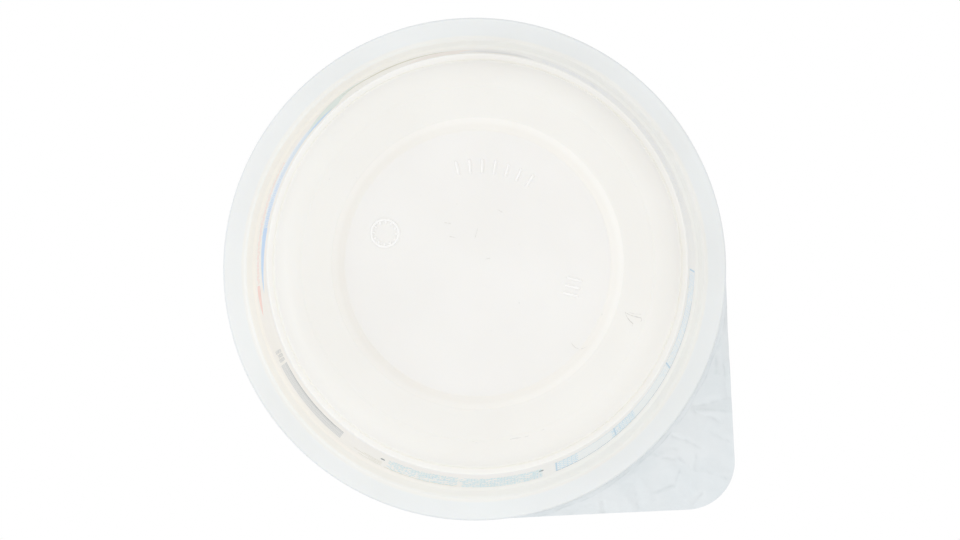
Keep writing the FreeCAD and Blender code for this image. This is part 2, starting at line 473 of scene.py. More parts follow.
# Where each colour of the plastic takes over from the one before: by the distance from the axis on the base
# and the flange, and by the height on the wall.
BASE_BANDS = (
    # Painted shade at the recess's edge, then a painted highlight on the slope up to the standing ring
    (RECESS_RADIUS - 0.3 * MM, RECESS_RADIUS + 0.1 * MM, STEP_PAINTED_SHADE),
    (RECESS_RADIUS + 0.7 * MM, RECESS_RADIUS + 1.5 * MM, STEP_PAINTED_HIGHLIGHT),
    (STANDING_INNER_RADIUS - 0.2 * MM, STANDING_INNER_RADIUS, STANDING_WHITE),
)
WALL_BANDS = (
    # Painted highlight over the top of the foot and the ledge
    (2.0 * MM, 3.5 * MM, LEDGE_PAINTED_HIGHLIGHT),
    (LEDGE_HEIGHT + 0.1 * MM, LEDGE_HEIGHT + 1.5 * MM, WALL_WHITE),
    (WALL_TOP, COLLAR_BOTTOM, COLLAR_CREAM),
    # Painted highlight round the flange's root
    (FLANGE_UNDERSIDE - 3 * MM, FLANGE_UNDERSIDE - 0.2 * MM, ROOT_PAINTED_HIGHLIGHT),
)
FLANGE_BANDS = (
    (COLLAR_TOP_RADIUS + 0.5 * MM, COLLAR_TOP_RADIUS + 1.1 * MM, FLANGE_WHITE),
    # Painted shade on the rim's rounded edge
    (RIM_RADIUS - 0.45 * MM, RIM_RADIUS - 0.1 * MM, RIM_EDGE_PAINTED_SHADE),
)

# The painted light and shade run across the base and the wall from one x to another, darker towards -x and
# lighter towards +x. The wall's starts and ends in z too.
BASE_PAINTED_LIGHT_RUN = (-35 * MM, 35 * MM)
WALL_PAINTED_LIGHT_RUN = (-42 * MM, 20 * MM)
WALL_PAINTED_LIGHT_START = (LEDGE_HEIGHT, LEDGE_HEIGHT + 4 * MM)
WALL_PAINTED_LIGHT_END = (FLANGE_UNDERSIDE, FLANGE_UNDERSIDE - 2 * MM)

# The channel between the rounded foot and the wall, where shade is painted as a yellower band
CHANNEL_START = (LEDGE_INNER_RADIUS - 0.55 * MM, LEDGE_INNER_RADIUS - 0.1 * MM)
CHANNEL_END = (LEDGE_INNER_RADIUS + 0.35 * MM, LEDGE_INNER_RADIUS + 0.05 * MM)
CHANNEL_SHADE = 0.8


def cup_plastic(name, recess):
    """White plastic, warmer over the contents and cooler on the empty flange, with a moulded haze. Light and
    shade are painted in too: highlights on the step, the ledge and the flange's root, shade at the step's
    inner edge, in the foot's channel and on the rim's edge, and each side lighter or darker.
    """
    s = Finish(name, Subsurface_Weight=0.12, Subsurface_Scale=0.8 * MM, IOR=1.49)
    s.feed(s.principled.inputs["Subsurface Radius"], (1.0, 0.9, 0.75))
    x, y, z = s.split(s.point)
    across = s.math("SQRT", s.plus(s.times(x, x), s.times(y, y)))

    def banded(color, measure, bands):
        for start, end, paint in bands:
            color = s.mix(s.ramp(measure, start, end), color, paint)
        return color

    color = banded(recess, across, BASE_BANDS)
    # Painted light and shade on the base: darker towards -x, lighter towards +x
    side_light_tint = s.mix(s.ramp(x, *BASE_PAINTED_LIGHT_RUN), BASE_PAINTED_SHADE_END, BASE_PAINTED_LIGHT_END)
    color = banded(s.mix(1.0, color, side_light_tint, "MULTIPLY"), z, WALL_BANDS)
    # Painted light and shade on the wall: warmer and darker towards -x, lighter towards +x, fading out at its
    # foot and under the flange
    side_light_tint = s.mix(s.ramp(x, *WALL_PAINTED_LIGHT_RUN), WALL_PAINTED_SHADE_SIDE, WALL_PAINTED_LIGHT_SIDE)
    side_light_share = s.times(s.ramp(z, *WALL_PAINTED_LIGHT_START), s.ramp(z, *WALL_PAINTED_LIGHT_END))
    color = s.mix(side_light_share, color, s.mix(1.0, color, side_light_tint, "MULTIPLY"))
    color = banded(color, across, FLANGE_BANDS)
    # Painted shade: the channel at the ledge's inner edge made yellower
    channel = s.times(s.ramp(across, *CHANNEL_START), s.ramp(across, *CHANNEL_END))
    color = s.mix(s.times(channel, CHANNEL_SHADE), color, CHANNEL_PAINTED_SHADE)
    color = s.mix(s.ramp(s.noise(s.point, 55, 4.0), 0.3, 0.7, 0.0, 0.5), color, CLOUD_WHITE, "MULTIPLY")
    s.bump(s.noise(s.point, 2600, 2.0), 0.012 * MM, 0.35)
    return s.close(color, s.ramp(s.noise(s.point, 160), 0.2, 0.8, 0.34, 0.46))


def lid_foil():
    """Lacquered aluminium: pale, satin, with the fine lines of the rolling mill, and grey shade painted along
    its folds.
    """
    s = Finish("lid_foil", Metallic=0.5)
    crease = s.add("ShaderNodeAttribute", {"attribute_name": "crease"})["Fac"]
    along_the_roll = s.add("ShaderNodeMapping", Vector=s.point, Scale=(0.04, 1.0, 1.0))[0]
    rolled = s.noise(along_the_roll, 3800, 2.0)
    color = s.mix(s.ramp(s.noise(s.point, 120, 4.0), 0.3, 0.7), FOIL_DEEP, FOIL_PALE)
    # Painted shade: grey along the foil's folds and its crimp's line
    color = s.mix(s.times(crease, 0.3), color, CREASE_PAINTED_SHADE)
    s.bump(rolled, 0.01 * MM, 0.3)
    return s.close(color, s.ramp(rolled, 0.2, 0.8, 0.36, 0.48))


def ink(name, color):
    """Glossy printing ink on plastic: even colour with the slight mottle of a thin film."""
    s = Finish(name, IOR=1.49)
    mottle = s.noise(s.point, 420, 4.0)
    pale = rgb(*(c + (1 - c) * MOTTLE for c in color))
    deep = rgb(*(c * (1 - MOTTLE) for c in color))
    shade = s.mix(s.ramp(mottle, 0.3, 0.7), deep, pale)
    return s.close(shade, s.ramp(mottle, 0.2, 0.8, 0.30, 0.36))


def scuff_grey(name, color):
    """The grey-brown smear of a rub, paler where it skipped."""
    s = Finish(name, Roughness=0.6)
    pale = rgb(*(0.5 * c + 0.44 for c in color))
    return s.close(s.mix(s.ramp(s.noise(s.point, 2400), 0.35, 0.7), rgb(*color), pale))


# ---- the cup

LONGEST_RUN = 2.0 * MM  # of a straight line in the cup's section
ARC_STEP = 9 * DEG
LEAST_ARC_STEPS = 3


def rounded_chain(corners):
    """Points through corners (x, z, round), with each round as an arc of short steps."""
    points = [Vector((x, z)) for x, z, _ in corners]
    chain = [points[0]]
    for before, here, after, (_, _, radius) in zip(points, points[1:], points[2:], corners[1:]):
        if not radius:
            chain.append(here)
            continue
        back = (before - here).normalized()
        ahead = (after - here).normalized()
        half = back.angle(ahead) / 2
        centre = here + (back + ahead).normalized() * (radius / math.sin(half))
        to_tangent = radius / math.tan(half)
        first, last = here + back * to_tangent - centre, here + ahead * to_tangent - centre
        turn = math.pi - 2 * half
        side = 1 if first.cross(last) > 0 else -1
        steps = max(LEAST_ARC_STEPS, math.ceil(turn / ARC_STEP))
        for i in range(steps + 1):
            chain.append(centre + Matrix.Rotation(side * turn * i / steps, 2) @ first)
    chain.append(points[-1])
    return chain


def split_long(chain, longest):
    """The same chain with its long straight runs divided, for an even mesh."""
    out = [chain[0]]
    for a, b in zip(chain, chain[1:]):
        pieces = max(1, math.ceil((b - a).length / longest))
        out += [a.lerp(b, i / pieces) for i in range(1, pieces + 1)]
    return out


def make_cup(plastic):
    groove_middle = GROOVE_OUTER_RADIUS - GROOVE_WIDTH / 2
    under_foil = HEIGHT - UNDER_FOIL_DEPTH
    corners = [
        (0, RECESS_DEPTH, 0),
        (RECESS_RADIUS, RECESS_DEPTH, RECESS_ROUND),
        (STANDING_INNER_RADIUS, 0, RECESS_ROUND),
        (STANDING_OUTER_RADIUS, 0, GROOVE_ROUND),
        (groove_middle, GROOVE_DEPTH, GROOVE_ROUND),
        (GROOVE_OUTER_RADIUS, 0, GROOVE_ROUND),
        (FOOT_CORNER_RADIUS, 0, FOOT_CORNER_ROUND),
        (LEDGE_INNER_RADIUS, LEDGE_HEIGHT, LEDGE_ROOT_ROUND),
        (WALL_FOOT_RADIUS, LEDGE_HEIGHT, LEDGE_ROUND),
        (WALL_TOP_RADIUS, WALL_TOP, SHOULDER_ROUND),
        (COLLAR_BOTTOM_RADIUS, COLLAR_BOTTOM, SHOULDER_ROUND),
        (COLLAR_TOP_RADIUS, FLANGE_UNDERSIDE, FLANGE_ROOT_ROUND),
        (RIM_RADIUS, FLANGE_UNDERSIDE, FLANGE_EDGE_ROUND),
        (RIM_RADIUS, HEIGHT, FLANGE_EDGE_ROUND),
        (SEAL_INNER_RADIUS, HEIGHT, UNDER_FOIL_ROUND),
        (SEAL_INNER_RADIUS - UNDER_FOIL_ROUND, under_foil, UNDER_FOIL_ROUND),
        (0, under_foil, 0),
    ]
    chain = split_long(rounded_chain(corners), LONGEST_RUN)
    lines = [(i, i + 1) for i in range(len(chain) - 1)]
    section = mesh_from("cup_section", [(p.x, 0, p.y) for p in chain], [], lines)
    cup = grown("cup", lathe_tree(), section, Segments=360, Plastic=plastic)
    finish_piece(cup, replaces="tub", sharp=50)


# ---- the print on the wall

MOTTLE = 0.02  # how far an ink's colour wanders, as a share
INKS = dict(
    ice=(0.89, 0.915, 0.89),
    pale_sky=(0.70, 0.83, 0.93),
    sky=(0.46, 0.70, 0.84),
    rule=(0.42, 0.62, 0.77),
    dark_rule=(0.14, 0.27, 0.38),
    teal=(0.47, 0.72, 0.79),
    night=(0.06, 0.10, 0.11),
    bar=(0.50, 0.50, 0.475),
    red=(0.92, 0.60, 0.52),
    blue=(0.45, 0.65, 0.91),
    mist=(0.66, 0.76, 0.85),
    haze=(0.84, 0.87, 0.89),
    leaf=(0.67, 0.75, 0.68),
    straw=(0.885, 0.855, 0.77),
    olive=(0.60, 0.56, 0.40),
    crust=(0.855, 0.78, 0.70),
    stone=(0.80, 0.79, 0.755),
    coal=(0.66, 0.66, 0.63),
    slate=(0.80, 0.82, 0.865),
    brook=(0.45, 0.63, 0.82),
)
STATION_STEP = 0.4  # degrees of the wall from one cross section of a field to the next
LEAST_FILM = 0.003  # the least share of the wall's height that a field's pointed end keeps


def along_wall(degrees):
    return math.radians(degrees) * PRINT_RADIUS


def up_wall(share):
    return share * WALL_HEIGHT


def flat_film(stations, layer=0):
    """A closed film of ink through stations (x, low, high) along the wall."""
    proud = INK_PROUD + layer * INK_LAYER
    corners = []
    for x, low, high in stations:
        corners += [(x, low, -INK_SUNK), (x, low, proud), (x, high, proud), (x, high, -INK_SUNK)]
    return four_sided("film", corners)


def shape(first, last, edges, layer=0):
    """A field of ink from one azimuth to another, in degrees. Edges gives its lower and upper edge at a share
    of its length, as shares of the wall's height."""
    count = max(2, round((last - first) / STATION_STEP))
    stations = []
    for i in range(count + 1):
        low, high = edges(i / count)
        high = max(high, low + LEAST_FILM)
        stations.append((along_wall(first + (last - first) * i / count), up_wall(low), up_wall(high)))
    return flat_film(stations, layer)


def bar(first, last, low, high, layer=0):
    """An upright rectangle."""
    return shape(first, last, lambda u: (low, high), layer)


def leaf(first, last, low, high, drift=0.0, cut=1.0, layer=0):
    """A shape that is pointed at both ends, climbs by drift along its length, and stops at a share of it."""

    def edges(u):
        u *= cut
        middle = (low + high) / 2 + drift * (u - 0.5) + 0.25 * drift * math.sin(2 * math.pi * u)
        half = (high - low) / 2 * math.sin(math.pi * u) ** 0.85
        return middle - half, middle + half

    return shape(first, first + (last - first) * cut, edges, layer)


def dome(first, last, low, high, fullness=2.4, lean=0.0, layer=0):
    """A hill with a level foot and a rounded top, whose summit leans along its length."""

    def edges(u):
        skewed = u + lean * u * (1 - u)
        top = (1 - abs(2 * skewed - 1) ** fullness) ** (1 / fullness)
        return low, low + (high - low) * top

    return shape(first, last, edges, layer)


def block(layer=0):
    """A unit rectangle of ink, standing on the origin, for the rows of small marks."""
    return flat_film([(-0.5, 0, 1), (0.5, 0, 1)], layer)


def dot(layer=0):
    """A unit round of ink, centred on the origin."""
    proud = INK_PROUD + layer * INK_LAYER
    form = bmesh.new()
    bmesh.ops.create_cone(form, cap_ends=True, segments=12, radius1=0.5, radius2=0.5, depth=INK_SUNK + proud)
    bmesh.ops.translate(form, verts=form.verts, vec=(0, 0, (proud - INK_SUNK) / 2))
    return mesh_of("dot", form)


def make_print():
    inks = {name: ink("ink_" + name, color) for name, color in INKS.items()}
    wrap, rows = wrap_tree(), print_tree()

    def lay(name, color, *meshes):
        piece = grown("print_" + name, wrap, joined(meshes), Ink=inks[color])
        finish_piece(piece, sharp=30)

    def rows_of(name, color, base, left, bottom, columns, count, sizes, **more):
        """Rows of marks: left in degrees, bottom as a share of the height. Sizes are the pitch, the row pitch
        and a mark's width and height, in millimetres."""
        values = dict.fromkeys(ROW_HABITS, 0.0) | {"Seed": 1} | more
        values |= zip(("Pitch", "Row_Pitch", "Wide", "Tall"), (size * MM for size in sizes))
        values |= {"Left": along_wall(left), "Bottom": up_wall(bottom), "Columns": columns, "Rows": count}
        finish_piece(grown("print_" + name, rows, base, Ink=inks[color], **values), sharp=30)

    # A ruled panel with rows of small marks in its columns
    lay("panel_field", "ice", bar(1.0, 68.5, 0.235, 0.89))
    lay("panel_rule", "dark_rule", bar(9.0, 68.5, 0.862, 0.888, 1))
    uprights = [bar(at, at + 0.45, 0.247, 0.865, 1) for at in (1.0, 27.2, 49.9, 68.05)]
    lay("panel_lines", "rule", bar(1.0, 68.5, 0.235, 0.247, 1), bar(1.0, 9.0, 0.865, 0.89, 1), *uprights)
    rulings = [bar(1.6, 67.9, 0.325 + 0.078 * i, 0.33 + 0.078 * i, 1) for i in range(7)]
    lay("panel_rulings", "pale_sky", *rulings)
    marks, habits = (0.78, 2.87, 0.62, 1.7), {"Loose": 0.35, "Shift": 0.4}
    names, figures = habits | {"Gaps": 0.16}, habits | {"Gaps": 0.06, "Ragged": 0.2}
    rows_of("panel_names", "pale_sky", block(1), 2.4, 0.262, 8, 8, marks, Seed=3, **names)
    rows_of("panel_names_ends", "pale_sky", block(1), 12.0, 0.262, 18, 8, marks, Ragged=0.75, Seed=8, **names)
    rows_of("panel_values", "sky", block(1), 43.4, 0.262, 8, 8, marks, Seed=4, **figures)
    rows_of("panel_shares", "sky", block(1), 62.4, 0.262, 6, 8, marks, Seed=5, **figures)

    # Two blocks of very small rows, with a dash at each end, and fine lines beside and over the second
    left, right = (0.59, 1.42, 0.54, 1.05), (0.53, 1.42, 0.48, 1.05)
    full = {"Loose": 0.4, "Gaps": 0.18, "Ragged": 0.08, "Shift": 0.37}
    sparse = full | {"Gaps": 0.5}
    rows_of("notes_left", "teal", block(), 72.6, 0.31, 26, 17, left, Seed=6, **full)
    rows_of("notes_right", "teal", block(), 95.2, 0.30, 25, 10, right, Seed=7, **full)
    rows_of("notes_right_ends", "teal", block(), 95.2, 0.70, 25, 6, right, Seed=12, **sparse)
    rows_of("notes_dots", "night", dot(), 72.5, 0.45, 2, 1, (28.7, 1.0, 0.9, 3.4))
    side_lines = ((0.66, 121.0), (0.74, 124.0), (0.82, 119.5), (0.9, 122.5))
    lay("notes_side", "olive", *(bar(115.6, last, t, t + 0.018) for t, last in side_lines))
    lay("notes_rule", "olive", bar(95.0, 114.8, 0.915, 0.938))

    # A ladder of plain bars, with a column of small marks at its end
    rungs, at = [], 0.295
    for thick, gap in ((0.07, 0.03), (0.05, 0.05), (0.03, 0.05), (0.04, 0.05), (0.03, 0.05), (0.035, 0.03)):
        rungs.append(bar(128.5, 153.0, at, at + thick, 1))
        at += thick + gap
    lay("ladder_field", "stone", bar(128.5, 153.0, 0.29, at))
    lay("ladder", "bar", *rungs)
    lay("ladder_edge", "night", bar(131.0, 150.5, 0.335, 0.352, 2))
    beads = (0.78, 2.5, 0.7, 1.7)
    rows_of("ladder_marks", "bar", block(), 154.2, 0.30, 3, 7, beads, Loose=0.3, Gaps=0.05)

    # The broad side: a wave that breaks up into dots, a ribbon of dashes over it, and rolling hills
    lay("wave_haze", "haze", leaf(184, 226, 0.15, 0.68))
    lay("wave", "blue", leaf(172.5, 212, 0.21, 0.53, cut=0.44, layer=1))
    foam, breaking = (0.86, 0.86, 0.8, 0.8), {"Loose": 0.2, "Fade": 0.35, "Taper": 0.45, "Shift": 0.5}
    rows_of("wave_dots", "blue", dot(2), 187.0, 0.235, 25, 14, foam, **breaking)
    lay("wave_tail", "mist", leaf(202, 225, 0.19, 0.46, drift=-0.04, layer=3))
    lay("ribbon", "red", leaf(167, 179, 0.65, 0.90, cut=0.66))
    dashes, frayed = (1.22, 1.95, 1.1, 1.35), {"Loose": 0.3, "Shift": 0.5, "Fade": 0.2}
    rows_of("ribbon_dashes", "red", dot(), 176.0, 0.675, 18, 4, dashes, **frayed)
    lay("meadow", "leaf", dome(216, 250, 0.18, 0.95, fullness=1.5, lean=0.1, layer=1))
    lay("brook", "brook", leaf(217.5, 227, 0.16, 0.36, drift=-0.04, layer=4))
    lay("far_hill", "straw", dome(229, 270, 0.07, 0.86, fullness=1.9, lean=0.1, layer=5))
    lay("far_ridge", "olive", leaf(231, 265, 0.59, 0.76, drift=-0.10, layer=6))
    lay("near_hill", "crust", dome(251, 281, 0.09, 0.68, fullness=1.8, lean=-0.1, layer=7))
    lay("rock", "stone", dome(265, 285.5, 0.12, 0.74, fullness=1.7, layer=8))
    lay("rock_shade", "coal", leaf(268.5, 284.5, 0.16, 0.40, layer=9))

    # Pale rows between the hills and the panel
    left, right = (0.62, 1.7, 0.54, 1.1), (0.62, 1.7, 0.5, 1.1)
    pale = {"Loose": 0.5, "Shift": 0.45}
    closer, looser = pale | {"Gaps": 0.18, "Ragged": 0.2}, pale | {"Gaps": 0.3, "Ragged": 0.3}
    rows_of("rows_left", "slate", block(), 288.0, 0.08, 26, 14, left, Seed=9, **closer)
    rows_of("rows_right", "slate", block(), 317.0, 0.08, 36, 14, right, Seed=10, **looser)


# ---- marks moulded in the base

PIP_COUNT = 7
PIP_PITCH = 2.1 * MM
PIP_LENGTH = 2.4 * MM
PIP_ROW_AZIMUTH = 280 * DEG
DIAL_RADIUS = 2.5 * MM
DIAL_LINE_RADIUS = DIAL_RADIUS - MARK_LINE / 2  # to the middle of the ring's line
DIAL_TICKS = 12
DIAL_TICK_LENGTH = 0.7 * MM
DIAL_TICK_WIDTH = MARK_LINE * 0.8
DIAL_AZIMUTH = 198 * DEG
TALLY_COUNT = 3
TALLY_PITCH = 1.3 * MM
TALLY_LENGTH = 2.6 * MM
TALLY_AZIMUTH = 14 * DEG


def moulded_bar(length, width=MARK_LINE):
    """A low bar along X with rounded ends and a rounded face downwards, as a cutter leaves it in a mould."""
    form = bmesh.new()
    bmesh.ops.create_cube(form, size=1)
    bmesh.ops.scale(form, vec=(length, width, 2 * MARK_RELIEF), verts=form.verts)
    rounding = {"affect": "EDGES", "profile": 0.5, "clamp_overlap": True}
    upright = [e for e in form.edges if abs(e.verts[0].co.z - e.verts[1].co.z) > MARK_RELIEF]
    bmesh.ops.bevel(form, geom=upright, offset=width * 0.45, segments=4, **rounding)
    low = [e for e in form.edges if all(v.co.z < -0.99 * MARK_RELIEF for v in e.verts)]
    bmesh.ops.bevel(form, geom=low, offset=MARK_SOFTNESS, segments=3, **rounding)
    return mesh_of("moulded_bar", form)


def finish_mark(mark, place, plastic=None):
    """Moves a mark drawn at the origin to its place on the base, and finishes it."""
    mark.data.transform(place)
    mark.data.update()
    finish_piece(mark, plastic, sharp=60)


def mark_place(azimuth):
    """Where a mark drawn at the origin goes on the recessed face."""
    out = Matrix.Translation(polar(MARK_RING_RADIUS, azimuth, RECESS_DEPTH))
    return out @ Matrix.Rotation(azimuth, 4, "Z")


def make_marks(plastic):
    """A curved row of seven pips, a dial ring with ticks, and a tally of three strokes."""
    ring = ring_tree()
    arc = {"Radius": MARK_RING_RADIUS, "Middle": PIP_ROW_AZIMUTH, "Step": PIP_PITCH / MARK_RING_RADIUS}
    pips = grown("pip_row", ring, moulded_bar(PIP_LENGTH), Count=PIP_COUNT, Plastic=plastic, **arc)
    finish_mark(pips, Matrix.Translation((0, 0, RECESS_DEPTH)))

    tick = moulded_bar(DIAL_TICK_LENGTH, DIAL_TICK_WIDTH)
    tick_radius = DIAL_LINE_RADIUS - DIAL_TICK_LENGTH / 2
    circle = {"Radius": tick_radius, "Middle": 0.0, "Step": 2 * math.pi / DIAL_TICKS}
    ticks = grown("dial_ticks", ring, tick, Count=DIAL_TICKS, Plastic=plastic, **circle)
    finish_mark(ticks, mark_place(DIAL_AZIMUTH))
    half_line = MARK_LINE / 2
    bpy.ops.mesh.primitive_torus_add(
        major_radius=DIAL_LINE_RADIUS, minor_radius=half_line, major_segments=64, minor_segments=12
    )
    hoop = bpy.context.object
    hoop.name = "dial_ring"
    flattened = Matrix.Diagonal((1, 1, MARK_RELIEF / half_line, 1))
    finish_mark(hoop, mark_place(DIAL_AZIMUTH) @ flattened, plastic)

    for i in range(TALLY_COUNT):
        stroke = new_object(f"tally_{i + 1}", moulded_bar(TALLY_LENGTH))
        aside = Matrix.Translation((0, (i - (TALLY_COUNT - 1) / 2) * TALLY_PITCH, 0))
        finish_mark(stroke, mark_place(TALLY_AZIMUTH) @ aside, plastic)


# ---- scuffs on the base

# The middle lines of the rubs on the base, and the middles of the specks, in millimetres
DARK_RUBS = [
    ((24.5, 8.1), (24.65, 8.55), (24.9, 9.1), (25.3, 9.6), (25.8, 10.05), (25.7, 10.4)),
    ((24.7, 8.3), (25.45, 8.7), (26.3, 8.9), (27.2, 9.15), (27.25, 9.55), (26.95, 9.8)),
    ((20.7, 8.15), (20.7, 8.65)),
]
FAINT_RUBS = [
    ((25.1, 8.15), (26.0, 8.45), (27.2, 8.5)),
    ((-5.6, -6.8), (-5.0, -6.7), (-4.5, -6.65)), ((-4.8, -4.5), (-4.2, -4.4), (-3.6, -4.2)),
    ((0.0, -5.9), (-0.3, -4.9), (-0.5, -4.1)),
    ((1.2, -0.7), (2.2, -0.9)), ((3.3, -9.0), (4.1, -8.5)),
    ((5.3, 29.3), (6.2, 29.1), (7.2, 29.0)),
    ((7.8, 28.9), (8.4, 28.7)), ((-0.9, 29.6), (-0.1, 29.9)), ((10.5, 27.9), (11.1, 27.5)),
    ((15.5, 13.2), (15.9, 13.7), (16.3, 14.1), (16.9, 14.3), (17.55, 14.2), (18.15, 13.9)),
]
SPECKS = [
    (-24.7, -14.0), (-20.2, -14.2), (6.9, -3.2), (6.9, 6.6),
    (2.2, 11.2), (-9.5, -11.3), (-3.5, -9.9), (-11.1, 0.7),
]
SPECK_REACH = (0.09, 0.03)  # half a speck's length, and its slant
SCUFF_STEP = 0.12 * MM  # from one cross section of a rub to the next
SCUFF_HALF_THICKNESS = 0.006 * MM


def base_height(x, y):
    """How high the underside of the base lies at a point."""
    across = math.hypot(x, y)
    return RECESS_DEPTH * min(max((STANDING_INNER_RADIUS - across) / RECESS_SLOPE_RUN, 0.0), 1.0)


def rub(path, width):
    """A thin smear along a path, widest in its middle and half sunk into the base."""
    points = split_long([Vector(p) * MM for p in path], SCUFF_STEP)
    corners = []
    for i, here in enumerate(points):
        before, after = points[max(i - 1, 0)], points[min(i + 1, len(points) - 1)]
        ahead = (after - before).normalized()
        side = Vector((-ahead.y, ahead.x))
        uneven = max(0.15, 0.75 + 1.3 * noise.noise((here.x / MM * 2.5, here.y / MM * 2.5, 1.0)))
        swell = 0.35 + 0.65 * math.sin(math.pi * (i / (len(points) - 1))) ** 0.5
        half = width / 2 * uneven * swell
        for reach, lift in ((half, 0), (0, -SCUFF_HALF_THICKNESS), (-half, 0), (0, SCUFF_HALF_THICKNESS)):
            at = here + side * reach
            corners.append((at.x, at.y, base_height(at.x, at.y) + lift))
    return four_sided("rub", corners)


def make_scuffs():
    dark = scuff_grey("scuff_dark", (0.65, 0.63, 0.585))
    faint = scuff_grey("scuff_faint", (0.76, 0.742, 0.70))
    reach, slant = SPECK_REACH
    specks = [((x - reach, y), (x + reach, y + slant)) for x, y in SPECKS]
    for name, finish, paths, width in (
        ("scuffs_dark", dark, DARK_RUBS, 0.14 * MM),
        ("scuffs_faint", faint, FAINT_RUBS, 0.15 * MM),
        ("scuff_specks", faint, specks, 0.2 * MM),
    ):
        piece = new_object(name, joined([rub(path, width) for path in paths]))
        finish_piece(piece, finish)


# ---- the foil lid

# Folds in the pull corner: where each starts and ends, its height and its half width, in millimetres
FOLDS = [
    ((40.8, 26.3), (49.2, 24.2), 0.24, 1.5),
    ((40.8, 26.7), (49.2, 27.0), -0.16, 1.2),
    ((41.2, 26.8), (46.6, 29.0), 0.16, 0.7),
    ((37.2, 31.5), (40.2, 32.7), 0.16, 0.6),
    ((39.8, 32.6), (43.3, 34.0), 0.15, 0.7),
    ((36.9, 33.9), (38.5, 34.3), 0.10, 0.4),
    ((35.5, 35.7), (38.0, 36.1), 0.12, 0.5),
    ((38.4, 35.7), (39.6, 36.9), -0.12, 0.5),
    ((38.9, 38.1), (37.6, 41.1), 0.13, 0.6),
    ((33.8, 42.3), (37.6, 40.9), 0.14, 0.6),
    ((41.9, 35.2), (41.4, 38.2), -0.10, 0.8),
    ((41.2, 44.6), (43.1, 42.2), 0.18, 0.7),
    ((24.0, 43.8), (24.5, 46.0), 0.16, 0.7),
    ((48.4, 0.0), (48.8, 17.0), 1.1, 2.3),
    ((46.4, 13.8), (45.1, 16.3), 0.16, 0.5),
    ((45.7, 16.8), (46.0, 20.2), -0.14, 0.7),
    ((47.0, 17.5), (47.6, 24.0), 0.12, 1.2),
    ((32.8, 34.6), (34.6, 35.1), 0.12, 0.4),
    ((28.4, 38.9), (30.4, 37.4), 0.12, 0.5),
    ((44.5, 31.0), (49.3, 33.0), 0.07, 1.2),
    ((30.0, 40.0), (31.0, 45.9), 0.08, 1.6),
    ((43.0, 38.0), (48.4, 40.0), -0.08, 2.0),
]
FOLD_RUN_OUT, FOLD_FADE = 0.12, 0.2  # a fold's run past its ends and its fade there, as shares of its length

# What the foil does inside the seal, at the seal's edge, and past the flange. Lengths are in millimetres.
SAG = 0.75
PUCKERS, PUCKER_HEIGHT, PUCKER_BAND, PUCKER_INSET = 31, 0.11, 2.2, 2.6
EDGE_WRAP = 0.4  # how far the bare edge of the foil is pressed round the flange
WRINKLE_START, WRINKLE_FULL = 0.1, 1.6  # past the flange's edge
BEAD_HEIGHT, BEAD_WIDTH = 0.05, 0.2  # the crimp's line on the pull corner
DROOP = 0.010
WRINKLES = ((0.13, 0.36, 3.0), (0.34, 0.13, 11.0), (0.8, 0.045, 23.0))  # how close, how tall, and a seed

# How finely the foil's mesh is divided
TAB_SPOKES, PLAIN_SPOKES = 300, 252
INNER_RINGS, TAB_RINGS = 44, 52
INNER_CROWDING, TAB_CROWDING = 0.85, 1.3  # both crowd the rings towards the circle's edge
SHEET_SHARE = 0.8  # the sheet's own thickness, as a share of the solid foil's


def outline_reach(azimuth):
    """How far the foil reaches from the axis: a circle, two edges square to each other and their round."""
    away = abs((azimuth - TAB_AZIMUTH + math.pi) % (2 * math.pi) - math.pi)
    if away >= math.pi / 4:
        return FOIL_RADIUS
    straight = FOIL_RADIUS - TAB_CORNER_ROUND
    to_centre = math.sqrt(2) * straight
    round_from = math.pi / 4 - math.atan2(straight, FOIL_RADIUS)
    if away >= round_from:
        return FOIL_RADIUS / math.cos(math.pi / 4 - away)
    return to_centre * math.cos(away) + math.sqrt(TAB_CORNER_ROUND**2 - (to_centre * math.sin(away)) ** 2)


def fold_height(x, y):
    """The height of the folds at a point of the pull corner, in millimetres, and how near one is, which sets
    the shade painted along its middle.
    """
    height, near = 0.0, 0.0
    for (x0, y0), (x1, y1), tall, half_width in FOLDS:
        along_x, along_y = x1 - x0, y1 - y0
        length = math.hypot(along_x, along_y)
        t = ((x - x0) * along_x + (y - y0) * along_y) / length**2
        wander = 0.25 * noise.noise((x * 0.35, y * 0.35, tall * 9))
        off = ((x - x0) * along_y - (y - y0) * along_x) / length + wander
        inside = min(t, 1 - t) + FOLD_RUN_OUT
        end = min(max(inside / FOLD_FADE, 0), 1)
        ridge = max(0.0, 1 - abs(off) / half_width)
        height += tall * end * ridge**1.3
        # Painted shade along each fold's middle, patchy, and fading at its ends
        mark = 0.4 + 0.9 * noise.noise((x * 0.9, y * 0.9, tall * 40))
        near = max(near, end * max(0.0, mark) * max(0.0, 1 - abs(off) / 0.55) ** 2)
    return height, near


def crumple(x, y):
    """Small sharp wrinkles between the folds, in millimetres: ridges of a folded noise."""
    total = 0.0
    for scale, tall, seed in WRINKLES:
        total += tall * (abs(noise.noise((x * scale, y * scale, seed))) - 0.2)
    return total


